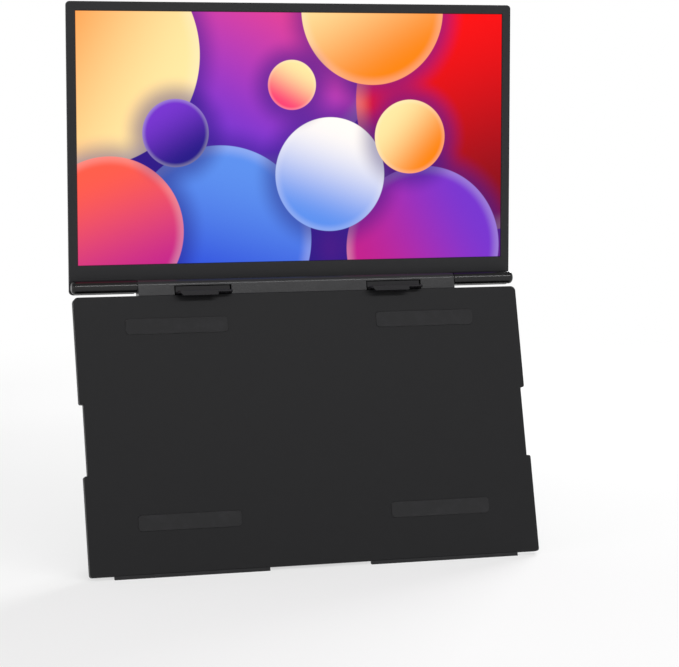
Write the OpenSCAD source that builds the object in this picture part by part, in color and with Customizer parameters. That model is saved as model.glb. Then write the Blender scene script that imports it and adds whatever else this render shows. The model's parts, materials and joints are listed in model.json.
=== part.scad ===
// Laptop screen extender: a 15.6 inch panel hinged above a back plate that
// hooks over a laptop lid and stands on a folding leaf.
// X runs across the screen, -Y faces the user, +Z is up, millimetres.

/* [Screen] */
// Width of the lit area
active_w = 344.2; // [280:0.1:380]
// Height of the lit area
active_h = 193.6; // [150:0.1:220]
// Frame beside the lit area
bezel_side = 6.8; // [5:0.1:12]
// Frame above the lit area
bezel_top = 6.9; // [5:0.1:12]
// From the hinge axis up to the lit area
chin_h = 16.2; // [14:0.1:24]
// Thickness of the display slab
display_t = 4; // [3.8:0.1:7]
// Radius of the display's upper corners
display_corner = 3; // [2:0.1:5]
// Thickness of the front frame
bezel_t = 0.6; // [0.5:0.1:1]
// Thickness of the panel glass
panel_t = 1.2; // [1:0.1:1.6]
// Thickness of the light guide
guide_t = 0.6; // [0.4:0.1:0.8]
// Thickness of the panel tray
tray_t = 0.4; // [0.3:0.1:0.6]
// Wall around the display's rear cover
shell_t = 1.4; // [1.2:0.1:1.8]

/* [Electronics] */
// Width of the electronics cover
pod_w = 240; // [220:1:250]
// Height of the electronics cover
pod_h = 60; // [58:1:80]
// How far the cover stands off the display's back
pod_t = 7.3; // [7.2:0.1:10]
// From the hinge axis up to the cover
pod_low = 7; // [6:0.5:12]
// Height of the driver board
board_h = 34; // [30:1:36]
// Thickness of the boards
board_t = 1; // [0.8:0.1:1.6]
// How far a button stands out
button_proud = 0.8; // [0.7:0.1:1.2]
// Travel of the power button
button_travel = 0.4; // [0.3:0.05:0.5]

/* [Hinge] */
// From the hinge axis back to the display's face
face_offset = 7.1; // [6.6:0.1:8]
// Radius of the hinge barrels
barrel_r = 5; // [4.8:0.1:5.4]
// Length of the housing between the barrels
housing_w = 256; // [250:1:262]
// Gap at each end of the housing
barrel_gap = 0.5; // [0.3:0.1:1]
// How far the barrels end inside the display's sides
barrel_inset = 0; // [0:0.1:3]
// Radius of the hinge shafts
shaft_r = 2; // [1.6:0.1:2.2]
// Radial running clearance of pins and shafts
run_gap = 0.03; // [0.02:0.01:0.05]
// Wall of the hinge housing
housing_wall = 1.4; // [1.3:0.05:1.5]

/* [Plate] */
// Lean of the plate from upright, degrees
plate_lean = 15.7; // [12:0.1:20]
// Thickness of the plate
plate_t = 6.8; // [6.6:0.1:8]
// How far the plate's face stands in front of the barrels
plate_proud = 0.6; // [0.3:0.1:1]
// From the hinge axis down to the plate
plate_top = 8.2; // [8.2:0.1:9]
// Length of the plate
plate_len = 212.2; // [200:0.1:230]
// Radius of the plate's upper corners
plate_corner = 4; // [3:0.1:8]
// Radius of the plate's lower corners
foot_corner = 2.2; // [2:0.1:8]
// Thickness of the front cover
cover_t = 1.2; // [1:0.1:1.4]
// Thickness of the steel stiffener
sheet_t = 0.8; // [0.5:0.1:1]
// From the plate's top down to the side notches
notch_from = 81.8; // [60:0.1:100]
// Length of the side notches
notch_len = 54.4; // [40:0.1:60]
// Depth of the side notches
notch_depth = 3.1; // [2:0.1:4]
// Radius of the corners where a side notch begins and ends
notch_corner = 1.6; // [0.5:0.1:1.9]
// Height of the foot pads below the plate's lowest corner
foot_t = 0.9; // [0.6:0.1:2]

/* [Clips] */
// From the housing's end to each clip's middle
clip_from_end = 50.8; // [48:0.5:54]
// Width of a clip's arm
clip_w = 43; // [38:0.5:44]
// Thickness of a clip's arm
arm_t = 1.6; // [1.4:0.1:1.7]
// From the hinge axis forward to the lip's front
lip_reach = 13.6; // [12:0.1:18]
// Thickness of the lip
lip_t = 1.8; // [1.4:0.1:2.2]
// How far the lip hangs below the arm
lip_drop = 2.4; // [1.5:0.1:4]
// Width of the lip
lip_w = 28.5; // [20:0.5:34]
// How far the lip lies left of the arm's middle
lip_shift = 4.3; // [0:0.1:4.5]
// Travel of the clips
clip_travel = 3; // [2:0.1:3]

/* [Stand] */
// Width of the stand leaf
leaf_w = 220; // [180:1:230]
// Thickness of the stand leaf
leaf_t = 2.2; // [2:0.1:2.4]
// Angle of the open leaf from the plate, degrees
leaf_open = 30; // [26:0.5:34]
// From the hinge axis down to the leaf's pins
leaf_pin_z = 38; // [34:0.5:60]
// Radius of the leaf's pins
leaf_pin_r = 0.75; // [0.6:0.05:0.8]
// Play around the leaf
leaf_gap = 0.5; // [0.3:0.1:1]

/* [Hidden] */
$fn = 48;

// Display, measured from the hinge axis
display_w = active_w + 2 * bezel_side;
display_top = chin_h + active_h + bezel_top;
face_y = face_offset;
back_y = face_y + display_t;
panel_y = face_y + bezel_t;
guide_y = panel_y + panel_t;
tray_y = guide_y + guide_t;
shell_y = back_y - (display_t - bezel_t - panel_t - guide_t - tray_t);
panel_rim = 2.4;
rail_low = 3;
ear_drop = 6.2;
ear_fill_top = 8;
rail_half = housing_w / 2 + barrel_gap;
cap_len = 3;
barrel_far = display_w / 2 - barrel_inset - cap_len;
barrel_screw_x = [rail_half + 11.5, barrel_far - 8];
barrel_screw_z = 1.5;

// Electronics cover
pod_wall = 1.2;
pod_back = back_y + pod_t;
pod_top = pod_low + pod_h;
board_y = back_y + 1.3;
board_w = pod_w - 2 * pod_wall - 1;
board_z = pod_low + 4;
port_z = [board_z + 5, board_z + 17, board_z + 29];
port_size = [7.4, 3.2, 9];
hdmi_size = [7.6, 3.4, 11.2];
speaker_x = 88;
speaker_size = [34, 4.4, 12];
speaker_z = pod_top - 10;
chip_size = [12, 1.4, 12];
chip_x = [-60, 0, 40];
chip_rise = 11;
small_chip = [3, 1, 2];
small_chip_x = 70;
ribbon_w = 48;
ribbon_t = 0.3;
ribbon_z = board_z + 6;
board_screw_x = [-board_w / 2 + 14, -24, 60];
board_screw_in = 3.5;
pod_corner = 4;
pod_screw_in = 6;
pod_boss_x = 35;
slot_pitch = 2.4;
slot_w = 1.2;
slot_half = 4;
stem_r = 1;
switch_w = 3;
switch_t = 1.4;
button_y = back_y + pod_t / 2;
switch_face = -pod_w / 2 + pod_wall + 2.8;
switch_tip = switch_face - 0.3;
button_z = board_z + 5;
rocker_z = board_z + 21;
power_half = 4;
rocker_half = 8;
rocker_arm = 5;
rocker_axis_x = -pod_w / 2 + 0.6;
rocker_pin_r = 0.4;
cap_half = 1.9;
play = 0.15;

// Plate, measured from the hinge axis with the plate upright
plate_w = display_w;
plate_front = -(barrel_r + plate_proud);
plate_back = plate_front + plate_t;
plate_low = plate_top + plate_len;
sheet_y = plate_front + cover_t;
wall_t = 1.6;
floor_t = 1.2;
recess_y = -leaf_t / 2 - 0.1;
recess_wall = 1;
recess_half = leaf_w / 2 + leaf_gap;
recess_top = leaf_pin_z - leaf_t / 2 - 0.3;
flange_t = 2;
flange_low = 22;
flange_y = plate_back + 0.1;
flange_z = 15;
screw_r = 1;
screw_gap = 0.02;
head_r = 1.9;
head_t = 0.7;
flange_screw_x = [20, housing_w / 2 - clip_from_end - 16, housing_w / 2 - 16];
cover_screw_x = plate_w / 2 - 28.9;
cover_screw_z = [plate_top + 23.8, plate_top + plate_len / 2 + 4, plate_low - 14.4];
boss_r = 2.6;
pad_t = 1;
pad_seat = 0.4;
pad_len = 80;
pad_w = 12;
pad_side = 38.9;
pad_high = 17.8;
pad_rise = 32.4;
pad_corner = 3;
relief_r = 15;
relief_pitch = 50;
relief_low = 30.4;
foot_w = 3;
foot_in = 70;
foot_out = 50;
pin_block = 8;

// Clips and their slides in the housing
clip_x = housing_w / 2 - clip_from_end;
arm_top = 6.4;
ear_low = arm_top + 0.6;
window_top = 0.9;
window_gap = 1;
rod_r = 0.8;
rod_x = clip_w / 2 + 3.4;
rod_z = 3.4;
ear_half = rod_x + 2.2;
tail_t = 1.2;
housing_in = barrel_r - housing_wall;
tail_y = housing_in - 0.4 - tail_t;
rib_in = clip_x - ear_half - 1.6;
rib_out = clip_x + ear_half + 0.6;
rib_t = 1;
wire_r = 0.2;
coil_r = 1.25;
coil_turns = 3;

// Hinge shafts
nut_t = 1.8;
washer_t = 0.9;
sleeve_len = 16;
sleeve_end = housing_w / 2 - housing_wall - 0.6;
sleeve_x = sleeve_end - sleeve_len;
washer_x = sleeve_x - 0.15 - washer_t;
nut_x = washer_x - nut_t;
shaft_end = barrel_far - 11;

// Stance
axis_up = foot_t + plate_low * cos(plate_lean) + plate_back * sin(plate_lean);
leaf_tilt = leaf_open - plate_lean;
leaf_foot = 6;
leaf_corner = 3;
pull_w = 50;
pull_h = 14;
pull_rise = 24;
pin_up = axis_up - leaf_pin_z * cos(plate_lean);
leaf_len = pin_up / cos(leaf_tilt);
foot_end = leaf_len - leaf_foot;
leg_back = -leaf_pin_z * sin(plate_lean) + leaf_len * sin(leaf_tilt);
leg_rear = leg_back + leaf_t / 2 * cos(leaf_tilt) + leaf_t / 2 * tan(leaf_tilt) * sin(leaf_tilt);
toe_front = plate_front / cos(plate_lean) - axis_up * tan(plate_lean);
axis_y = -(leg_rear + toe_front) / 2;

// ---- Frames ----
module in_display() { translate([0, axis_y, axis_up]) children(); }
module in_plate() { translate([0, axis_y, axis_up]) rotate([-plate_lean, 0, 0]) children(); }
module in_leaf() { in_plate() translate([0, 0, -leaf_pin_z]) rotate([leaf_open, 0, 0]) children(); }

// ---- Shapes that repeat ----
// Flat rectangle with round corners, by its edges
module round_rect(x0, x1, z0, z1, r) {
    translate([x0 + r, z0]) square([x1 - x0 - 2 * r, z1 - z0]);
    translate([x0, z0 + r]) square([x1 - x0, z1 - z0 - 2 * r]);
    for (x = [x0 + r, x1 - r], z = [z0 + r, z1 - r]) translate([x, z]) circle(r);
}
// Stands a flat outline up as a sheet between two depths
module sheet(y0, y1) { translate([0, y1, 0]) rotate([90, 0, 0]) linear_extrude(y1 - y0) children(); }
// Runs a side profile along X
module bar(x0, x1) { translate([x0, 0, 0]) rotate([90, 0, 90]) linear_extrude(x1 - x0) children(); }
module box(x0, x1, y0, y1, z0, z1) { translate([x0, y0, z0]) cube([x1 - x0, y1 - y0, z1 - z0]); }
module rod_x_axis(x0, x1, r) { translate([x0, 0, 0]) rotate([0, 90, 0]) cylinder(h = x1 - x0, r = r); }
module rod_y_axis(y0, y1, r) { translate([0, y1, 0]) rotate([90, 0, 0]) cylinder(h = y1 - y0, r = r); }
module both_sides() { children(); mirror([1, 0, 0]) children(); }
// Screw with its head at the back, pointing forward from depth y
module screw(y, len) {
    rod_y_axis(y - len, y, screw_r - screw_gap);
    difference() {
        rod_y_axis(y, y + head_t, head_r);
        box(-0.3, 0.3, y + head_t - 0.3, y + head_t + 1, -1.2, 1.2);
        box(-1.2, 1.2, y + head_t - 0.3, y + head_t + 1, -0.3, 0.3);
    }
}

// ---- Plate ----
// Flat rectangle whose lower and upper corners have their own radii
module tab(half, z0, z1, low_r, high_r) {
    over = low_r + high_r + 1;
    intersection() {
        round_rect(-half, half, z0, z1 + over, low_r);
        round_rect(-half, half, z0 - over, z1, high_r);
    }
}
module plate_outline(inset) {
    half = plate_w / 2 - inset;
    low = -plate_low + inset;
    high = -plate_top - inset;
    notch_high = -plate_top - notch_from + inset;
    notch_low = -plate_top - notch_from - notch_len - inset;
    inner_r = max(notch_corner - inset, 0.2);
    tab(half, notch_high, high, inner_r, plate_corner - inset);
    tab(half, low, notch_low, max(foot_corner - inset, 0.2), inner_r);
    translate([-half + notch_depth, low + 10]) square([2 * (half - notch_depth), high - low - 20]);
}
module cover_screw_places() {
    for (x = [-cover_screw_x, cover_screw_x], z = cover_screw_z) translate([x, 0, -z]) children();
}
module flange_screw_places() {
    for (s = [-1, 1], x = flange_screw_x) translate([s * x, 0, -flange_z]) children();
}
module pad_outline(extra) {
    out = plate_w / 2 - pad_side;
    for (s = [-1, 1], z = [-plate_top - pad_high - pad_w, -plate_low + pad_rise]) scale([s, 1]) {
        round_rect(out - pad_len - extra, out + extra, z - extra, z + pad_w + extra, pad_corner);
    }
}
module plate_front_cover() {
    color("#2b2b2d") in_plate() difference() {
        union() {
            sheet(plate_front, sheet_y) plate_outline(0);
            cover_screw_places() rod_y_axis(sheet_y, sheet_y + sheet_t + 0.5, boss_r);
        }
        sheet(plate_front - 1, plate_front + pad_seat) pad_outline(0.1);
        cover_screw_places() rod_y_axis(plate_front + 0.5, sheet_y + 5, screw_r);
    }
}
module recess_outline(extra) {
    translate([-recess_half - extra, -plate_low - 1]) {
        square([2 * (recess_half + extra), plate_low + 1 - recess_top + extra]);
    }
}
module plate_rear_cover() {
    color("#262628") in_plate() difference() {
        union() {
            difference() {
                sheet(sheet_y, plate_back) plate_outline(0);
                sheet(sheet_y - 1, plate_back - floor_t) plate_outline(wall_t);
            }
            intersection() {
                sheet(recess_y - recess_wall, plate_back) recess_outline(floor_t);
                sheet(sheet_y, plate_back) plate_outline(0);
            }
            both_sides() translate([recess_half, 0, -leaf_pin_z]) {
                box(0, pin_block + 1, recess_y - recess_wall, plate_back - 0.1,
                    -pin_block / 2, pin_block / 2);
            }
            cover_screw_places() rod_y_axis(sheet_y + sheet_t + 0.5, plate_back - 0.1, boss_r);
            flange_screw_places() rod_y_axis(sheet_y + sheet_t, plate_back - 0.1, boss_r);
        }
        sheet(recess_y, plate_back + 1) recess_outline(0);
        both_sides() translate([0, 0, -leaf_pin_z]) {
            rod_x_axis(recess_half - 1, recess_half + pin_block, leaf_pin_r);
        }
        cover_screw_places() {
            rod_y_axis(sheet_y, plate_back + 1, screw_r);
            rod_y_axis(plate_back - head_t, plate_back + 1, head_r + 0.1);
        }
        flange_screw_places() rod_y_axis(sheet_y + sheet_t + 0.6, plate_back + 1, screw_r);
    }
}
module stiffener_sheet() {
    color("#8d9094") in_plate() difference() {
        sheet(sheet_y, sheet_y + sheet_t) plate_outline(wall_t + 0.4);
        cover_screw_places() rod_y_axis(sheet_y - 1, sheet_y + 5, boss_r + 0.1);
        for (i = [-2 : 2], j = [0 : 2]) {
            translate([i * relief_pitch, 0, -plate_low + relief_low + j * relief_pitch]) {
                rod_y_axis(sheet_y - 1, sheet_y + 5, relief_r);
            }
        }
    }
}
module lid_pads() {
    back = plate_front + pad_seat;
    color("#1d1d1f") in_plate() sheet(back - pad_t, back) pad_outline(0);
}
// Rubber strips whose lower face lies level on the table
module plate_feet() {
    y0 = plate_front;
    y1 = plate_front + foot_w;
    low = axis_up / cos(plate_lean);
    color("#1b1b1c") in_plate() both_sides() bar(recess_half - foot_in, recess_half + foot_out) {
        polygon([[y0, -plate_low], [y1, -plate_low], [y1, -low + y1 * tan(plate_lean)],
            [y0, -low + y0 * tan(plate_lean)]]);
    }
}

// ---- Hinge housing ----
module housing_profile(r, low) {
    circle(r);
    translate([-r, -low]) square([2 * r, low]);
}
module clip_rod_places() {
    for (s = [-1, 1], t = [-1, 1]) translate([s * clip_x + t * rod_x, 0, -rod_z]) children();
}
module hinge_housing() {
    in = housing_in;
    hollow = housing_w / 2 - housing_wall;
    color("#4c4c4e") in_plate() difference() {
        union() {
            bar(-housing_w / 2, housing_w / 2) housing_profile(barrel_r, plate_top);
            box(-housing_w / 2 + 4, housing_w / 2 - 4, flange_y, barrel_r, -plate_top - 1.8, -plate_top);
            sheet(flange_y, flange_y + flange_t) {
                round_rect(-housing_w / 2 + 4, housing_w / 2 - 4, -flange_low, -plate_top, 2);
            }
        }
        difference() {
            bar(-hollow, hollow) housing_profile(in, plate_top + 0.01);
            both_sides() {
                for (x = [rib_in, rib_out]) box(x, x + rib_t, -barrel_r, barrel_r, -plate_top, barrel_r);
            }
        }
        rod_x_axis(-housing_w / 2 - 1, -sleeve_end, shaft_r + 0.3);
        rod_x_axis(sleeve_end, housing_w / 2 + 1, shaft_r + 0.3);
        for (s = [-1, 1]) {
            box(s * clip_x - clip_w / 2 - window_gap, s * clip_x + clip_w / 2 + window_gap,
                -barrel_r - 1, -in + 0.1, -plate_top - 0.01, -window_top);
        }
        clip_rod_places() rod_y_axis(-in - 0.8, in + 0.8, rod_r);
        flange_screw_places() rod_y_axis(plate_back, flange_y + 5, screw_r + 0.1);
    }
}
module friction_sleeves() {
    color("#9a9da1") in_plate() both_sides() difference() {
        union() {
            rod_x_axis(sleeve_x, sleeve_end, housing_in - 0.2);
            box(sleeve_x, sleeve_end, -housing_in + 0.05, housing_in - 0.05, -plate_top + 0.1, -1.4);
        }
        rod_x_axis(sleeve_x - 1, sleeve_end + 1, shaft_r + run_gap);
        box(sleeve_x - 1, sleeve_end + 1, -0.4, 0.4, -plate_top + 1.6, 0);
    }
}
module flange_screws() {
    color("#5a5b5d") in_plate() flange_screw_places() screw(flange_y + flange_t, flange_t + 4);
}
module cover_screws() {
    color("#5a5b5d") in_plate() cover_screw_places() screw(plate_back - head_t, plate_t - head_t - 0.8);
}

// ---- Clips ----
module clip_rods() {
    color("#b4b6b9") in_plate() clip_rod_places() rod_y_axis(-housing_in - 0.8, housing_in + 0.8, rod_r);
}
// Wire coil drawn at its pressed length, which the tail never reaches
module coil(len) {
    sides = 6;
    steps = 14 * coil_turns;
    turn = 360 * coil_turns / steps;
    rise = (len - 2 * wire_r) / steps;
    points = [for (i = [0 : steps], j = [0 : sides - 1])
        let (b = j * 360 / sides, r = coil_r + wire_r * cos(b))
        [r * cos(i * turn), wire_r + i * rise + wire_r * sin(b), r * sin(i * turn)]];
    side_faces = [for (i = [0 : steps - 1], j = [0 : sides - 1])
        let (a = i * sides, b = a + sides, k = (j + 1) % sides)
        [a + j, a + k, b + k, b + j]];
    ends = [[for (j = [sides - 1 : -1 : 0]) j], [for (j = [0 : sides - 1]) steps * sides + j]];
    polyhedron(points, concat(side_faces, ends), convexity = 8);
}
module clip_springs() {
    len = tail_y + housing_in - clip_travel - 0.2;
    color("#c0c2c5") in_plate() clip_rod_places() translate([0, -housing_in + 0.05, 0]) coil(len);
}
module clip_at(x) {
    in_plate() translate([x, 0, 0]) difference() {
        union() {
            box(-clip_w / 2, clip_w / 2, -lip_reach, tail_y + tail_t, -arm_top - arm_t, -arm_top);
            box(-clip_w / 2, clip_w / 2, -housing_in - 0.2, -housing_in + 1, -arm_top, -window_top - 0.4);
            box(-ear_half, ear_half, tail_y, tail_y + tail_t, -ear_low, -1.3);
            sheet(-lip_reach, -lip_reach + lip_t) {
                x0 = -lip_shift - lip_w / 2;
                x1 = -lip_shift + lip_w / 2;
                high = -arm_top - arm_t + 0.1;
                low = -arm_top - arm_t - lip_drop;
                polygon([[x0 - 1.6, high], [x0, low + 0.8], [x0 + 0.8, low], [x1 - 0.6, low],
                    [x1, low + 0.6], [x1, high]]);
            }
        }
        for (t = [-1, 1]) translate([t * rod_x, 0, -rod_z]) rod_y_axis(-5, 5, rod_r + 0.05);
        for (t = [-1, 1]) scale([t, 1, 1]) translate([clip_w / 2, -lip_reach, 0]) rotate([0, 0, 45]) {
            box(-1.2, 1.2, -1.2, 1.2, -arm_top - arm_t - 0.02, -arm_top + 1);
        }
    }
}
module clip_pad_at(x) {
    half = lip_w / 2 - 1.5;
    high = -arm_top - arm_t;
    in_plate() translate([x - lip_shift, 0, 0]) {
        sheet(-lip_reach + lip_t, -lip_reach + lip_t + 0.6) {
            round_rect(-half, half, high - lip_drop + 0.3, high, 0.8);
        }
    }
}
module clip_left() { color("#29282c") clip_at(-clip_x); }
module clip_right() { color("#29282c") clip_at(clip_x); }
module clip_pad_left() { color("#1a1a1b") clip_pad_at(-clip_x); }
module clip_pad_right() { color("#1a1a1b") clip_pad_at(clip_x); }

// ---- Stand ----
module stand_leaf() {
    low = -foot_end + pull_rise;
    color("#2f2f31") in_leaf() difference() {
        union() {
            rod_x_axis(-leaf_w / 2, leaf_w / 2, leaf_t / 2);
            sheet(-leaf_t / 2, leaf_t / 2) {
                translate([-leaf_w / 2, -foot_end / 2]) square([leaf_w, foot_end / 2]);
                round_rect(-leaf_w / 2, leaf_w / 2, -foot_end, -foot_end / 4, leaf_corner);
            }
        }
        both_sides() rod_x_axis(leaf_w / 2 - 12, leaf_w / 2 + 1, leaf_pin_r + run_gap);
        sheet(-leaf_t, leaf_t) round_rect(-pull_w / 2, pull_w / 2, low, low + pull_h, pull_h / 2 - 0.1);
    }
}
module stand_foot() {
    half = leaf_t / 2;
    color("#1b1b1c") in_leaf() bar(-leaf_w / 2 + 4, leaf_w / 2 - 4) {
        polygon([[-half, -foot_end], [-half, -leaf_len + half * tan(leaf_tilt)],
            [half, -leaf_len - half * tan(leaf_tilt)], [half, -foot_end]]);
    }
}
module stand_pins() {
    color("#b4b6b9") in_plate() translate([0, 0, -leaf_pin_z]) {
        both_sides() rod_x_axis(leaf_w / 2 - 11.5, recess_half + pin_block, leaf_pin_r);
    }
}
module stand_washers() {
    color("#c0c2c5") in_plate() translate([0, 0, -leaf_pin_z]) both_sides() difference() {
        rod_x_axis(leaf_w / 2 + 0.06, recess_half, leaf_t / 2);
        rod_x_axis(leaf_w / 2 - 1, recess_half + 1, leaf_pin_r);
    }
}

// ---- Display ----
module display_outline(inset) {
    w = display_w / 2 - inset;
    difference() {
        round_rect(-w, w, -ear_drop + inset, display_top - inset, display_corner - inset);
        translate([-rail_half - inset, -ear_drop - 1]) {
            square([2 * (rail_half + inset), rail_low + ear_drop + 1 + inset]);
        }
    }
}
module display_bezel() {
    color("#333335") in_display() difference() {
        sheet(face_y, panel_y) display_outline(0);
        sheet(face_y - 1, panel_y + 1) translate([-active_w / 2, chin_h]) square([active_w, active_h]);
        barrel_screw_places() rod_y_axis(face_y - 1, panel_y + 1, screw_r);
    }
}
module display_rear_cover() {
    color("#2d2d2f") in_display() difference() {
        union() {
            difference() {
                sheet(panel_y, back_y) display_outline(0);
                sheet(panel_y - 1, shell_y) display_outline(shell_t);
            }
            both_sides() box(rail_half + shell_t, display_w / 2 - shell_t, panel_y, shell_y + 0.1,
                display_corner - ear_drop, ear_fill_top);
            board_screw_places() rod_y_axis(back_y - 0.1, board_y, 2.4);
        }
        barrel_screw_places() rod_y_axis(face_y - 1, back_y + 1, screw_r);
        barrel_screw_places() rod_y_axis(back_y - head_t, back_y + 1, head_r + 0.1);
        box(-ribbon_w / 2 - 6, ribbon_w / 2 + 6, shell_y - 1, back_y + 1, ribbon_z - 1, ribbon_z + 2);
        pod_screw_places() rod_y_axis(shell_y - 1, back_y + 1, screw_r);
        board_screw_places() rod_y_axis(shell_y - 1, board_y + 1, screw_r);
    }
}
module panel_outline() {
    translate([-active_w / 2 - panel_rim, chin_h - 1]) {
        square([active_w + 2 * panel_rim, active_h + 1 + panel_rim]);
    }
}
module lcd_panel() {
    color("#15161a") in_display() sheet(panel_y, guide_y) panel_outline();
}
module light_guide() {
    color("#dfe6ea") in_display() sheet(guide_y, tray_y) {
        translate([-active_w / 2 - 1, chin_h + 2]) square([active_w + 2, active_h]);
    }
}
module led_bar() {
    color("#e8e3c8") in_display() sheet(guide_y, tray_y) {
        translate([-active_w / 2 - 1, chin_h - 1]) square([active_w + 2, 2.9]);
    }
}
module panel_tray() {
    color("#a3a7ab") in_display() sheet(tray_y, shell_y) panel_outline();
}

// ---- Electronics on the display's back ----
module pod_screw_places() {
    for (x = [pod_screw_in - pod_w / 2, -pod_boss_x, pod_boss_x, pod_w / 2 - pod_screw_in]) {
        translate([x, 0, pod_top - pod_screw_in + 1]) children();
    }
}
module board_screw_places() {
    for (x = board_screw_x, z = [board_z + board_screw_in, board_z + board_h - board_screw_in]) {
        translate([x, 0, z]) children();
    }
}
module speaker_places() {
    for (x = [-speaker_x, speaker_x]) translate([x, 0, speaker_z]) children();
}
module rocker_pin_at() { translate([rocker_axis_x, button_y, rocker_z]) children(); }
module port_hole(size) {
    box(-3, 1, -play, size[1] + play, -size[2] / 2 - play, size[2] / 2 + play);
}
module button_hole(half) { box(-1, 3, -cap_half - play, cap_half + play, -half, half); }
module electronics_cover() {
    end = pod_w / 2;
    color("#2a2a2c") in_display() difference() {
        union() {
            difference() {
                sheet(back_y, pod_back) round_rect(-end, end, pod_low, pod_top, pod_corner);
                sheet(back_y - 1, pod_back - pod_wall) {
                    round_rect(-end + pod_wall, end - pod_wall, pod_low + pod_wall, pod_top - pod_wall,
                        pod_corner - pod_wall);
                }
            }
            pod_screw_places() rod_y_axis(back_y, pod_back - 0.1, boss_r);
        }
        pod_screw_places() {
            rod_y_axis(back_y - 1, pod_back + 1, screw_r);
            rod_y_axis(pod_back - head_t, pod_back + 1, head_r + 0.1);
        }
        translate([end, board_y + board_t, port_z[0]]) port_hole(port_size);
        translate([end, board_y + board_t, port_z[1]]) port_hole(port_size);
        translate([end, board_y + board_t, port_z[2]]) port_hole(hdmi_size);
        translate([-end, button_y, button_z]) button_hole(power_half + play);
        translate([-end, button_y, rocker_z]) button_hole(rocker_half + 0.25);
        rocker_pin_at() rod_y_axis(-cap_half - 0.8, cap_half + 0.8, rocker_pin_r);
        speaker_places() for (i = [-6 : 6]) {
            box(i * slot_pitch - slot_w / 2, i * slot_pitch + slot_w / 2, pod_back - 3, pod_back + 1,
                -slot_half, slot_half);
        }
    }
}
module driver_board() {
    color("#1f5a38") in_display() difference() {
        box(-board_w / 2 + 9, board_w / 2, board_y, board_y + board_t, board_z, board_z + board_h);
        board_screw_places() rod_y_axis(board_y - 1, board_y + 2, screw_r);
    }
}
module board_chips() {
    top = board_y + board_t;
    color("#161618") in_display() {
        for (x = chip_x) {
            box(x, x + chip_size[0], top, top + chip_size[1], board_z + chip_rise,
                board_z + chip_rise + chip_size[2]);
        }
        for (i = [0 : 4]) translate([small_chip_x + 2 * i * small_chip[0], top, board_z + chip_rise]) {
            cube(small_chip);
        }
    }
}
module usb_c_ports() {
    end = pod_w / 2 - 0.1;
    color("#b9bcbf") in_display() for (z = [port_z[0], port_z[1]]) translate([end, board_y + board_t, z]) {
        difference() {
            translate([-port_size[0], 0, 0]) bar(0, port_size[0]) {
                round_rect(0, port_size[1], -port_size[2] / 2, port_size[2] / 2, 1.4);
            }
            bar(-port_size[0] + 1.2, 1) round_rect(0.3, port_size[1] - 0.3, -port_size[2] / 2 + 0.3,
                port_size[2] / 2 - 0.3, 1.2);
        }
        box(-port_size[0] + 1, -1.2, port_size[1] / 2 - 0.35, port_size[1] / 2 + 0.35, -3.3, 3.3);
    }
}
module hdmi_port() {
    end = pod_w / 2 - 0.1;
    half = hdmi_size[2] / 2;
    color("#b9bcbf") in_display() translate([end, board_y + board_t, port_z[2]]) {
        difference() {
            translate([-hdmi_size[0], 0, 0]) bar(0, hdmi_size[0]) {
                polygon([[0, -half + 1], [1, -half], [hdmi_size[1], -half], [hdmi_size[1], half],
                    [1, half], [0, half - 1]]);
            }
            bar(-hdmi_size[0] + 1.2, 1) {
                polygon([[0.3, -half + 1.2], [1.1, -half + 0.3], [hdmi_size[1] - 0.3, -half + 0.3],
                    [hdmi_size[1] - 0.3, half - 0.3], [1.1, half - 0.3], [0.3, half - 1.2]]);
            }
        }
        box(-hdmi_size[0] + 1, -1.4, 1.5, 2.1, -half + 1.6, half - 1.6);
    }
}
module speakers() {
    color("#3a3b3e") in_display() speaker_places() {
        half = speaker_size / 2;
        sheet(pod_back - pod_wall - speaker_size[1], pod_back - pod_wall) {
            round_rect(-half[0], half[0], -half[2], half[2], 4);
        }
    }
}
// Flat flex from the panel's lower edge through the shell to the driver board
module panel_ribbon() {
    color("#b8863a") in_display() {
        box(-ribbon_w / 2, ribbon_w / 2, shell_y, board_y, ribbon_z, ribbon_z + ribbon_t);
    }
}
module button_board() {
    x = switch_face + switch_t;
    color("#1f5a38") in_display() box(x, x + board_t, back_y, back_y + 5.4, board_z, rocker_z + 10);
}
module button_switches() {
    color("#c9cbcd") in_display() for (z = [button_z, rocker_z - rocker_arm, rocker_z + rocker_arm]) {
        box(switch_face, switch_face + switch_t, button_y - switch_w / 2, button_y + switch_w / 2,
            z - switch_w / 2, z + switch_w / 2);
        translate([0, button_y, z]) rod_x_axis(switch_tip, switch_face, 0.8);
    }
}
module board_screws() {
    color("#8f9194") in_display() board_screw_places() {
        screw(board_y + board_t, board_t + board_y - shell_y - 0.1);
    }
}
module pod_screws() {
    color("#5a5b5d") in_display() pod_screw_places() screw(pod_back - head_t, pod_t - head_t + 0.9);
}
module button_outline(half) { round_rect(-cap_half, cap_half, -half, half, 1.8); }
module power_button() {
    inner = -pod_w / 2 + pod_wall + 0.1;
    color("#39393b") in_display() translate([0, button_y, button_z]) {
        bar(-pod_w / 2 - button_proud, inner) button_outline(power_half);
        bar(inner, inner + 0.6) button_outline(power_half + 0.8);
        rod_x_axis(inner, switch_tip - button_travel - 0.05, stem_r);
    }
}
module menu_rocker() {
    inner = -pod_w / 2 + pod_wall + 0.4;
    color("#39393b") in_display() translate([0, button_y, rocker_z]) difference() {
        union() {
            bar(-pod_w / 2 - button_proud, inner) button_outline(rocker_half);
            for (z = [-rocker_arm, rocker_arm]) translate([0, 0, z]) {
                rod_x_axis(inner - 0.1, switch_tip - 0.35, stem_r);
            }
        }
        translate([rocker_axis_x, 0, 0]) rod_y_axis(-5, 5, rocker_pin_r + run_gap);
    }
}
module rocker_pin() {
    color("#b4b6b9") in_display() rocker_pin_at() rod_y_axis(-cap_half - 0.8, cap_half + 0.8, rocker_pin_r);
}

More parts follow.
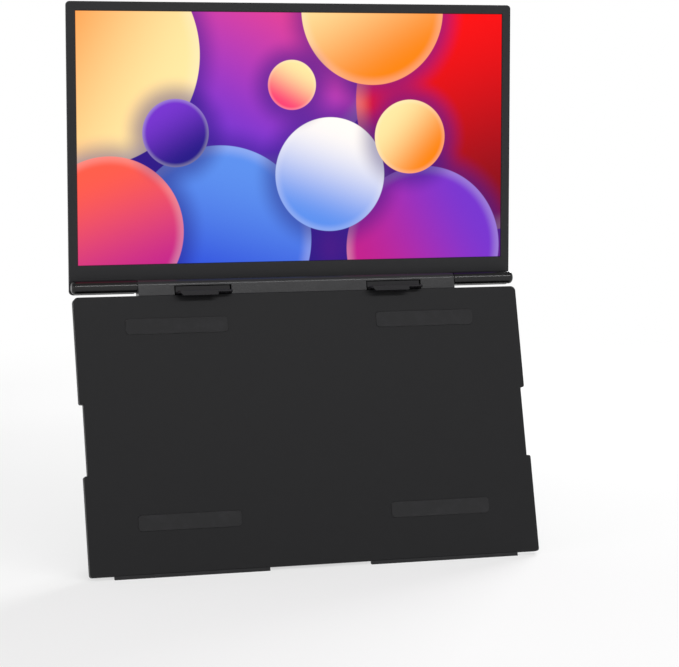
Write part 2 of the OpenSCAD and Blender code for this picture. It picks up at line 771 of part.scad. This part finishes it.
// ---- Barrels and shafts on the display ----
module barrel_screw_places() {
    for (s = [-1, 1], x = barrel_screw_x) translate([s * x, 0, barrel_screw_z]) children();
}
module barrel() {
    difference() {
        union() {
            rod_x_axis(rail_half, barrel_far, barrel_r);
            box(rail_half, barrel_far, 0, face_y, -barrel_r + 0.5, barrel_r);
        }
        rod_x_axis(rail_half - 1, shaft_end, shaft_r);
        barrel_screw_places() rod_y_axis(shaft_r + 1.4, face_y + 1, screw_r);
    }
}
module hinge_barrel_right() { color("#3a3a3c") in_display() barrel(); }
module hinge_barrel_left() { color("#3a3a3c") in_display() mirror([1, 0, 0]) barrel(); }
// Domed end of a barrel
module barrel_caps() {
    color("#343436") in_display() both_sides() translate([barrel_far, 0, 0]) rotate([0, 90, 0]) {
        rotate_extrude() {
            square([barrel_r - cap_len, cap_len]);
            intersection() {
                translate([barrel_r - cap_len, 0]) circle(cap_len);
                square([barrel_r, cap_len]);
            }
        }
    }
}
module hinge_shafts() {
    color("#a9acb0") in_display() both_sides() rod_x_axis(nut_x, shaft_end, shaft_r);
}
module spring_washers() {
    color("#c0c2c5") in_display() both_sides() difference() {
        rod_x_axis(washer_x, washer_x + washer_t, housing_in - 0.4);
        rod_x_axis(washer_x - 1, washer_x + 2, shaft_r);
    }
}
module shaft_nuts() {
    color("#a9acb0") in_display() both_sides() difference() {
        translate([nut_x, 0, 0]) rotate([0, 90, 0]) cylinder(h = nut_t, r = housing_in - 0.3, $fn = 6);
        rod_x_axis(nut_x - 1, nut_x + 4, shaft_r);
    }
}
module barrel_screws() {
    color("#5a5b5d") in_display() barrel_screw_places() screw(back_y - head_t, display_t - head_t + 3);
}

hinge_housing();
plate_front_cover();
plate_rear_cover();
stiffener_sheet();
lid_pads();
plate_feet();
friction_sleeves();
clip_rods();
clip_springs();
stand_pins();
stand_washers();
cover_screws();
flange_screws();
display_bezel();
display_rear_cover();
lcd_panel();
light_guide();
led_bar();
panel_tray();
electronics_cover();
driver_board();
board_chips();
usb_c_ports();
hdmi_port();
speakers();
panel_ribbon();
button_board();
button_switches();
board_screws();
pod_screws();
hinge_barrel_left();
hinge_barrel_right();
barrel_caps();
hinge_shafts();
spring_washers();
shaft_nuts();
barrel_screws();
rocker_pin();
power_button();
menu_rocker();
clip_left();
clip_right();
clip_pad_left();
clip_pad_right();
stand_leaf();
stand_foot();
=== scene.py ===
import json
import math

import bmesh
import bpy
from mathutils import Matrix, Vector

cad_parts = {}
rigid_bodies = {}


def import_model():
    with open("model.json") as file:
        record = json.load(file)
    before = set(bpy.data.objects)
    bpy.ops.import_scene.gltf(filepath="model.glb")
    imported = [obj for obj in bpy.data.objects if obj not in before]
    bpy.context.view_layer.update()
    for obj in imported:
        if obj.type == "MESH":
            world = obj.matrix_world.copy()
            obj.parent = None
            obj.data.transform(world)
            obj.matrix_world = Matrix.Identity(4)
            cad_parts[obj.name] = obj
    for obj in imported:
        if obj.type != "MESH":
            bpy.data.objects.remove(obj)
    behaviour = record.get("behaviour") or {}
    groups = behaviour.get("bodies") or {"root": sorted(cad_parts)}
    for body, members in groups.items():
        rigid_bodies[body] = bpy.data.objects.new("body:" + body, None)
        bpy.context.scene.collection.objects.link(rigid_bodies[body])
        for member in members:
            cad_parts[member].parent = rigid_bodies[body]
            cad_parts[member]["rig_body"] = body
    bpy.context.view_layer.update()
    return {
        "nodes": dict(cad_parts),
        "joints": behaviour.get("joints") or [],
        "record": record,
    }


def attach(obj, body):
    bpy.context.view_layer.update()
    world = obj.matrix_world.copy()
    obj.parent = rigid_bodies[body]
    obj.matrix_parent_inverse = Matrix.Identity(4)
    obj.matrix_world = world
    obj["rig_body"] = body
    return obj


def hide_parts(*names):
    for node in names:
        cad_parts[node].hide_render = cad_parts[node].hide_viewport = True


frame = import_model()

# ---- Places, in metres: each group of pieces has its own upright frame ----
MM = 0.001
X, Y, Z = range(3)
JOINTS = {joint["name"]: joint for joint in frame["joints"]}

# The clips are pulled along the plate's normal, which gives the plate's lean. The leaf stands
# at its open stop, and its joint's range is the whole fold.
HINGE = Vector(JOINTS["display_tilt"]["pos_m"])
CLIP_PULL = Vector(JOINTS["clip_left_pull"]["axis"])
PLATE_LEAN = math.atan2(CLIP_PULL.z, -CLIP_PULL.y)
LEAF_PIN = Vector(JOINTS["stand_fold"]["pos_m"])
LEAF_OPEN = -math.radians(JOINTS["stand_fold"]["range_deg"][0])
DISPLAY = Matrix.Translation(HINGE)
PLATE = DISPLAY @ Matrix.Rotation(-PLATE_LEAN, 4, "X")
LEAF = Matrix.Translation(LEAF_PIN) @ Matrix.Rotation(LEAF_OPEN - PLATE_LEAN, 4, "X")

# The lit area, and how far its lower edge lies above the hinge's axis.
LIT_WIDTH = 344.2 * MM
LIT_HEIGHT = 193.6 * MM
LIT_FOOT = 16.2 * MM

# Levels of visible edges: the lowest or highest that a piece reaches, or a named level between
# them, in millimetres from its group's frame.
LOWEST = min
HIGHEST = max
REAR_COVER_BACK = 11.1
BARREL_FOOT = -4.5
FLANGE_BACK = 3.3
CLIP_ARM_TOP = -6.4
CLIP_ARM_FOOT = -8


# ---- Finishes ----
class Sum:
    """A shader value that plain arithmetic can be written on."""

    def __init__(self, finish, socket):
        self.finish, self.socket = finish, socket

    def math(self, operation, *terms):
        return self.finish.math(operation, *terms)

    def __add__(self, other):
        return self.math("ADD", self, other)

    __radd__ = __add__

    def __sub__(self, other):
        return self.math("SUBTRACT", self, other)

    def __rsub__(self, other):
        return self.math("SUBTRACT", other, self)

    def __mul__(self, other):
        return self.math("MULTIPLY", self, other)

    __rmul__ = __mul__

    def __truediv__(self, other):
        return self.math("DIVIDE", self, other)

    def __pow__(self, other):
        return self.math("POWER", self, other)

    def __abs__(self):
        return self.math("ABSOLUTE", self)


class Nodes:
    """A shader tree, with the steps that finishes and the studio share."""

    def __init__(self, tree):
        self.tree = tree

    def put(self, socket, value):
        if isinstance(value, Sum):
            self.tree.links.new(value.socket, socket)
        elif isinstance(value, tuple) and len(value) == 3 and socket.type == "RGBA":
            socket.default_value = (*value, 1)
        else:
            socket.default_value = value

    def node(self, kind, settings=None, sockets=None, out=0):
        """Adds a node: its settings first, then the values or links of its sockets."""
        made = self.tree.nodes.new("ShaderNode" + kind)
        for name, value in (settings or {}).items():
            setattr(made, name, value)
        for name, value in (sockets or {}).items():
            self.put(made.inputs[name], value)
        return Sum(self, made.outputs[out])

    def math(self, operation, *terms):
        return self.node("Math", {"operation": operation}, dict(enumerate(terms)))

    def part(self, vector, letter):
        split = self.tree.nodes.new("ShaderNodeSeparateXYZ")
        self.put(split.inputs[0], vector)
        return Sum(self, split.outputs[letter])

    def place(self):
        return self.node("TexCoord", out="Object")

    def noise(self, size, detail=2, stretch=(1, 1, 1)):
        """Cloudy noise whose lumps are about size metres across."""
        spread = self.node("VectorMath", {"operation": "MULTIPLY"}, {0: self.place(), 1: stretch})
        return self.node("TexNoise", None, {"Vector": spread, "Scale": 1 / size, "Detail": detail})

    def mix(self, factor, first, second):
        return self.node("Mix", {"data_type": "RGBA"}, {0: factor, 6: first, 7: second}, out=2)

    def ramp(self, value, low, high):
        """0 below low, 1 above high, smooth between."""
        return self.node("MapRange", {"interpolation_type": "SMOOTHSTEP"},
                         {"Value": value, "From Min": low, "From Max": high})

    def seen_directly(self):
        """1 where a camera, mirror or glass ray meets it, 0 for the rays that only light things."""
        kinds = [self.node("LightPath", out=name)
                 for name in ("Is Camera Ray", "Is Glossy Ray", "Is Transmission Ray")]
        return self.math("MINIMUM", sum(kinds), 1.0)


class Finish(Nodes):
    """A material built around one principled shader, whose constant inputs are given by name."""

    def __init__(self, name, **constants):
        self.material = bpy.data.materials.new(name)
        self.material.use_nodes = True
        super().__init__(self.material.node_tree)
        self.shader = self.tree.nodes["Principled BSDF"]
        self.surface(**constants)

    def surface(self, **inputs):
        for socket, value in inputs.items():
            self.put(self.shader.inputs[socket.replace("_", " ")], value)

    def bump(self, height, distance, strength=1.0):
        self.surface(Normal=self.node("Bump", None, {"Height": height, "Distance": distance,
                                                     "Strength": strength}))


def shade(colour, factor):
    return tuple(part * factor for part in colour)


def moulded(name, colour, roughness, depth=0.03, specular=0.22):
    """Injection-moulded plastic: a spark texture, depth millimetres deep, with uneven gloss."""
    finish = Finish(name, Specular_IOR_Level=specular)
    cloud = finish.noise(22 * MM, 3)
    fleck = finish.noise(0.9 * MM, 1)
    tone = cloud * 0.6 + fleck * 0.4
    finish.surface(Base_Color=finish.mix(tone, shade(colour, 0.84), shade(colour, 1.16)),
                   Roughness=roughness + (fleck - 0.5) * 0.16 + (cloud - 0.5) * 0.06)
    finish.bump(finish.noise(0.35 * MM, 2), depth * MM)
    return finish


def rubber(name, colour):
    """Soft silicone: dull, dusty, with a barely pebbled skin."""
    finish = Finish(name, Specular_IOR_Level=0.25, Sheen_Weight=0.15, Sheen_Roughness=0.5)
    dust = finish.noise(9 * MM, 4)
    finish.surface(Base_Color=finish.mix(finish.ramp(dust, 0.4, 0.8), colour, shade(colour, 1.7)),
                   Roughness=0.72 + (dust - 0.5) * 0.2)
    finish.bump(finish.noise(0.6 * MM, 2), 0.05 * MM)
    return finish


def metal(name, colour, roughness):
    """Metal with fine lines drawn along X."""
    finish = Finish(name, Metallic=1.0)
    lines = finish.noise(2.5 * MM, 3, (1, 14, 14))
    haze = finish.noise(14 * MM, 2)
    finish.surface(Base_Color=finish.mix(haze, shade(colour, 0.86), shade(colour, 1.1)),
                   Roughness=roughness + (lines - 0.5) * 0.22)
    finish.bump(lines, 0.01 * MM)
    return finish


def anodised(name, colour):
    """Bead-blasted aluminium under a dark anodised skin."""
    finish = Finish(name, Metallic=0.35, Specular_IOR_Level=0.4)
    beads = finish.noise(0.4 * MM, 2)
    haze = finish.noise(30 * MM, 2)
    finish.surface(Base_Color=finish.mix(haze, shade(colour, 0.88), shade(colour, 1.14)),
                   Roughness=0.5 + (beads - 0.5) * 0.24)
    finish.bump(beads, 0.02 * MM)
    return finish


def board():
    """Solder mask over copper tracks."""
    finish = Finish("solder_mask", Specular_IOR_Level=0.5)
    tracks = finish.node("TexBrick", {"offset": 0.37, "squash": 0.6},
                         {"Vector": finish.place(), "Scale": 220.0, "Mortar Size": 0.09}, out="Fac")
    mottle = finish.noise(6 * MM, 3)
    green = finish.mix(mottle, (0.012, 0.085, 0.035), (0.02, 0.13, 0.055))
    finish.surface(Base_Color=finish.mix(tracks * 0.6, green, (0.04, 0.22, 0.1)),
                   Roughness=0.34 + tracks * 0.12)
    finish.bump(tracks, 0.03 * MM)
    return finish


def clear_sheet():
    """Clear acrylic, very slightly blue."""
    finish = Finish("acrylic", Transmission_Weight=0.6, IOR=1.49)
    haze = finish.noise(30 * MM)
    finish.surface(Base_Color=finish.mix(haze, (0.7, 0.76, 0.8), (0.8, 0.85, 0.88)),
                   Roughness=0.08 + finish.noise(2 * MM) * 0.08)
    return finish


def light_strip():
    """A white strip with a row of faintly lit lamps."""
    finish = Finish("light_strip", Emission_Strength=0.15)
    lamps = finish.node("TexWave", {"bands_direction": "X", "wave_profile": "SIN"},
                        {"Vector": finish.place(), "Scale": 60.0})
    finish.surface(Base_Color=finish.mix(lamps, (0.62, 0.58, 0.4), (0.85, 0.82, 0.66)),
                   Emission_Color=finish.mix(lamps, (0.3, 0.3, 0.26), (1.0, 0.98, 0.86)),
                   Roughness=0.4 + lamps * 0.1)
    return finish


# Colours of the picture
RED = (0.95, 0.0, 0.0)
DEEP_RED = (0.22, 0.0, 0.005)
ORANGE = (1.0, 0.22, 0.0)
CREAM = (1.0, 0.76, 0.34)
CORAL = (0.93, 0.1, 0.06)
PINK = (0.93, 0.05, 0.16)
MAGENTA = (0.5, 0.01, 0.24)
VIOLET = (0.17, 0.03, 0.58)
INDIGO = (0.015, 0.005, 0.22)
BLUE = (0.003, 0.02, 0.62)
SKY = (0.1, 0.26, 0.8)
WHITE = (0.95, 0.9, 0.86)
BORDER = (0.002, 0.002, 0.002)

# Discs of the picture: middle across and up, radius, then the colours of its two sides
# and the way that the second side faces. Lengths are in halves of the picture's height.
DISCS = [
    (-0.3, 0.8, 1.06, PINK, VIOLET, 245),
    (1.6, 0.3, 1.08, RED, DEEP_RED, 290),
    (-1.66, 0.66, 0.88, ORANGE, CREAM, 330),
    (0.66, 1.02, 0.6, CREAM, ORANGE, 300),
    (-0.62, -0.82, 0.76, BLUE, SKY, 75),
    (1.1, -0.9, 0.66, MAGENTA, VIOLET, 30),
    (0.3, -0.3, 0.46, WHITE, SKY, 250),
    (-1.52, -0.74, 0.6, MAGENTA, CORAL, 110),
    (-0.98, 0.04, 0.27, VIOLET, INDIGO, 300),
    (0.98, 0.0, 0.3, ORANGE, CREAM, 140),
    (-0.02, 0.42, 0.2, PINK, CREAM, 60),
]
DISC_EDGE = 0.004
SHADOW_REACH = 0.2
SHADOW_DARK = 0.6
RIM_INNER = 0.86
RIM_LIGHT = 0.16
BORDER_INNER = 0.006
BORDER_OUTER = 0.001


def lit_picture():
    """A lit panel that shows overlapping soft discs, each with a shadow on what lies behind."""
    finish = Finish("lit_panel", Specular_IOR_Level=0.05, Emission_Strength=1.1)
    half = LIT_HEIGHT / 2
    across = finish.part(finish.place(), "X") / half
    up = (finish.part(finish.place(), "Z") - (HINGE.z + LIT_FOOT + half)) / half
    picture = finish.mix(finish.ramp(up * 0.8 + across * 0.35, -1.0, 1.0), INDIGO, MAGENTA)
    for middle, height, radius, near, far, facing in DISCS:
        turn = math.radians(facing)
        dx, dz = across - middle, up - height
        reach = (dx * dx + dz * dz) ** 0.5
        shadow = 1 - finish.ramp(reach, radius * 0.94, radius + SHADOW_REACH)
        picture = finish.mix(shadow * SHADOW_DARK, picture, INDIGO)
        side = finish.ramp((dx * math.cos(turn) + dz * math.sin(turn)) / radius, -0.9, 0.9)
        rim = finish.ramp(reach, radius * RIM_INNER, radius) * RIM_LIGHT
        fill = finish.mix(rim, finish.mix(side, near, far), WHITE)
        inside = finish.ramp(reach, radius + DISC_EDGE, radius - DISC_EDGE)
        picture = finish.mix(inside, picture, fill)
    half_width = LIT_WIDTH / LIT_HEIGHT
    edge_x = finish.ramp(abs(across), half_width - BORDER_INNER, half_width - BORDER_OUTER)
    edge_z = finish.ramp(abs(up), 1 - BORDER_INNER, 1 - BORDER_OUTER)
    speck = finish.noise(0.5 * MM, 1)
    finish.surface(Emission_Color=finish.mix(finish.math("MAXIMUM", edge_x, edge_z), picture, BORDER),
                   Base_Color=finish.mix(speck, (0.002, 0.002, 0.0025), (0.005, 0.005, 0.006)),
                   Roughness=0.38 + finish.noise(0.25 * MM, 1) * 0.1)
    return finish


# Plastics: colour, roughness, depth of the spark texture in millimetres, mirror strength.
PLASTICS = {
    "case_plastic": ((0.0105, 0.0105, 0.0114), 0.5, 0.03, 0.14),
    "bezel_plastic": ((0.0185, 0.0185, 0.02), 0.52, 0.03, 0.2),
    # barrel_plastic is the housing's plastic made darker: painted shade on the barrels.
    "barrel_plastic": ((0.0055, 0.0055, 0.006), 0.22, 0.003, 0.35),
    # housing_plastic is the barrels' plastic made lighter: a painted highlight on the housing's flat
    # front.
    "housing_plastic": ((0.026, 0.026, 0.0275), 0.24, 0.003, 0.25),
    "clip_plastic": ((0.011, 0.0104, 0.0122), 0.42, 0.012, 0.14),
    "button_plastic": ((0.028, 0.028, 0.03), 0.3, 0.01),
    "chip_resin": ((0.015, 0.015, 0.016), 0.45),
    "flex_film": ((0.45, 0.24, 0.05), 0.3),
}
# Metals: colour, roughness.
METALS = {
    "tray_aluminium": ((0.6, 0.61, 0.63), 0.4),
    "sheet_steel": ((0.3, 0.31, 0.32), 0.42),
    "bright_steel": ((0.52, 0.53, 0.54), 0.28),
    "dark_steel": ((0.08, 0.08, 0.085), 0.38),
}
FINISHES = {
    "pad_rubber": rubber("pad_rubber", (0.012, 0.012, 0.013)),
    "leaf_aluminium": anodised("leaf_aluminium", (0.035, 0.035, 0.038)),
    "screen": lit_picture(),
    "clear_sheet": clear_sheet(),
    "led_strip": light_strip(),
    "circuit_board": board(),
}
FINISHES.update({name: moulded(name, *look) for name, look in PLASTICS.items()})
FINISHES.update({name: metal(name, *look) for name, look in METALS.items()})
SLOT_OF = {part["node"]: part["material_slot"] for part in frame["record"]["subparts"]}
for node, piece in frame["nodes"].items():
    piece.data.materials.clear()
    piece.data.materials.append(FINISHES[SLOT_OF[node]].material)


# ---- Pieces with eased edges ----
SHARP = math.radians(30)
SMOOTH_BELOW = math.radians(38)
FLAT = math.radians(0.4)
SAME_PLANE = 0.004 * MM
SAME_POINT = 0.002 * MM
NO_LENGTH = 0.0005 * MM


def rims_of(edges):
    """Groups edges that touch, and gives each group with how far it reaches along X, Y or Z."""
    left, rims = dict.fromkeys(edges), []
    while left:
        rim, ahead = [], [left.popitem()[0]]
        while ahead:
            rim.append(ahead.pop())
            beside = [other for vert in rim[-1].verts for other in vert.link_edges if other in left]
            for other in beside:
                left.pop(other, None)
            ahead.extend(dict.fromkeys(beside))
        places = [vert.co for edge in rim for vert in edge.verts]
        reach = max(max(p[i] for p in places) - min(p[i] for p in places) for i in range(3))
        rims.append((rim, reach))
    return rims


def height_of(form, axis, level):
    """Where a level lies along an axis, in metres."""
    if level in (LOWEST, HIGHEST):
        return level(vert.co[axis] for vert in form.verts)
    return level * MM


def eased(node, upright, *breaks, long_rim=15):
    """The node's form with its visible edges rounded, which is shown in the node's place.

    Each break is a plane of the upright frame, as an axis and a level, then the radius for the
    rims on it that reach over long_rim millimetres, and the radius for its other rims, such as
    those of screw holes.
    """
    source = frame["nodes"][node]
    form = bmesh.new()
    form.from_mesh(source.data)
    form.transform(upright.inverted())
    bmesh.ops.remove_doubles(form, verts=form.verts, dist=SAME_POINT)
    bmesh.ops.dissolve_limit(form, angle_limit=FLAT, verts=form.verts, edges=form.edges)
    for axis, level, long_radius, short_radius in breaks:
        height = height_of(form, axis, level)
        on_plane = [
            edge for edge in form.edges
            if len(edge.link_faces) == 2 and edge.calc_face_angle() > SHARP
            and all(abs(vert.co[axis] - height) < SAME_PLANE for vert in edge.verts)
        ]
        for rim, reach in rims_of(on_plane):
            radius = long_radius if reach > long_rim * MM else short_radius
            if radius:
                bmesh.ops.bevel(form, geom=rim, offset=radius * MM, segments=3,
                                profile=0.5, affect="EDGES", clamp_overlap=False)
    bmesh.ops.dissolve_degenerate(form, dist=NO_LENGTH, edges=form.edges)
    form.transform(upright)
    for face in form.faces:
        face.smooth = True
    for edge in form.edges:
        edge.smooth = len(edge.link_faces) == 2 and edge.calc_face_angle() < SMOOTH_BELOW
    mesh = bpy.data.meshes.new(node + "_eased")
    form.to_mesh(mesh)
    form.free()
    piece = bpy.data.objects.new(node + "_eased", mesh)
    bpy.context.scene.collection.objects.link(piece)
    mesh.materials.append(FINISHES[SLOT_OF[node]].material)
    flatten = piece.modifiers.new("even_shading", "WEIGHTED_NORMAL")
    flatten.keep_sharp = True
    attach(piece, source["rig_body"])
    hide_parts(node)
    return piece


eased("display_bezel", DISPLAY, (Y, LOWEST, 0.35, 0.1), (Y, HIGHEST, 0.12, 0))
eased("display_rear_cover", DISPLAY, (Y, REAR_COVER_BACK, 0.9, 0.1), (Y, LOWEST, 0.12, 0))
eased("electronics_cover", DISPLAY, (Y, HIGHEST, 1.0, 0.15),
      (X, HIGHEST, 0.12, 0.12), (X, LOWEST, 0.12, 0.12))
eased("hinge_barrel_left", DISPLAY, (X, HIGHEST, 0.4, 0.4), (Z, BARREL_FOOT, 0.3, 0.3))
eased("hinge_barrel_right", DISPLAY, (X, LOWEST, 0.4, 0.4), (Z, BARREL_FOOT, 0.3, 0.3))
eased("power_button", DISPLAY, (X, LOWEST, 0.35, 0.35))
eased("menu_rocker", DISPLAY, (X, LOWEST, 0.35, 0.35))
eased("hinge_housing", PLATE, (X, LOWEST, 0.4, 0.4), (X, HIGHEST, 0.4, 0.4),
      (Y, LOWEST, 0.2, 0.2), (Y, FLANGE_BACK, 0.3, 0.1))
eased("plate_front_cover", PLATE, (Y, LOWEST, 0.5, 0.12), long_rim=100)
eased("plate_rear_cover", PLATE, (Y, HIGHEST, 0.5, 0.1))
eased("lid_pads", PLATE, (Y, LOWEST, 0.25, 0.25))
eased("stand_leaf", LEAF, (Y, LOWEST, 0.3, 0.3), (Y, HIGHEST, 0.3, 0.3))
for side in ("left", "right"):
    eased("clip_" + side, PLATE, (Y, LOWEST, 0.3, 0.3), (Z, CLIP_ARM_TOP, 0.4, 0.1),
          (Z, CLIP_ARM_FOOT, 0.2, 0.1))


# ---- Studio ----
def lamp(name, place, aim, width, height, power):
    """A soft rectangular lamp that faces a point."""
    data = bpy.data.lights.new(name, "AREA")
    data.shape, data.size, data.size_y, data.energy = "RECTANGLE", width, height, power
    made = bpy.data.objects.new(name, data)
    made.location = place
    made.rotation_euler = (Vector(aim) - Vector(place)).to_track_quat("-Z", "Y").to_euler()
    bpy.context.scene.collection.objects.link(made)


MIDDLE = (0, 0, 0.22)
lamp("key_lamp", (0.3, -1.53, 1.31), MIDDLE, width=2.4, height=0.16, power=20)
lamp("side_lamp", (-1.7, -0.9, 0.9), MIDDLE, width=0.9, height=1.0, power=3)
lamp("back_lamp", (1.3, 1.4, 1.3), MIDDLE, width=0.9, height=0.5, power=34)

# The floor is lightened by this share where it is seen, and is plain white between these
# distances from the object, in metres.
FLOOR_LIGHTENED = 0.6
WHITE_FROM = 0.5
WHITE_BEYOND = 1.6


def pale_floor():
    """A matt pale table that fades to plain white far from the object."""
    finish = Finish("pale_floor", Specular_IOR_Level=0.1, Roughness=0.9)
    fleck = finish.noise(3 * MM, 2)
    finish.surface(Base_Color=finish.mix(fleck, (0.86, 0.86, 0.86), (0.9, 0.9, 0.9)))
    direct = finish.seen_directly()
    far = finish.node("VectorMath", {"operation": "LENGTH"}, {0: finish.place()}, out="Value")
    faded = finish.ramp(far, WHITE_FROM, WHITE_BEYOND)
    whiten = finish.math("MAXIMUM", faded, direct * FLOOR_LIGHTENED)
    glow = finish.node("Emission", None, {"Color": (1, 1, 1), "Strength": direct})
    plain = Sum(finish, finish.shader.outputs[0])
    mixed = finish.node("MixShader", None, {0: whiten, 1: plain, 2: glow})
    finish.put(finish.tree.nodes["Material Output"].inputs["Surface"], mixed)
    return finish


bpy.ops.mesh.primitive_plane_add(size=60)
floor = bpy.context.object
floor.name = "floor"
floor.data.materials.append(pale_floor().material)


# The world's light falls by this share between these heights, where 1 is straight overhead.
DOME_DIMMED = 0.6
DIM_FROM = 0.1
DIM_ABOVE = 0.7


def studio_world(light):
    """White all round for the camera; as a light it is plain at the horizon and dim overhead."""
    world = bpy.data.worlds.new("studio")
    world.use_nodes = True
    studio = Nodes(world.node_tree)
    high = studio.part(studio.node("TexCoord", out="Generated"), "Z")
    dome = 1 - studio.ramp(high, DIM_FROM, DIM_ABOVE) * DOME_DIMMED
    strength = dome * (light + studio.seen_directly() * (1 - light))
    level = studio.math("MAXIMUM", studio.node("LightPath", out="Is Camera Ray"), strength)
    background = studio.tree.nodes["Background"]
    studio.put(background.inputs["Color"], (1, 1, 1))
    studio.put(background.inputs["Strength"], level)
    return world


scene = bpy.context.scene
scene.world = studio_world(0.75)
scene.view_settings.view_transform = "Standard"

# ---- Camera ----
LENS = 126.37
TURN = math.radians(16.955)
TILT = math.radians(6.011)
camera = bpy.data.objects.new("camera", bpy.data.cameras.new("camera"))
camera.data.sensor_fit = "HORIZONTAL"
camera.data.sensor_width = 36
camera.data.lens = LENS
camera.location = (-0.51, -1.7705, 0.3689)
camera.rotation_euler = (math.pi / 2 - TILT, 0, -TURN)
scene.collection.objects.link(camera)
scene.camera = camera
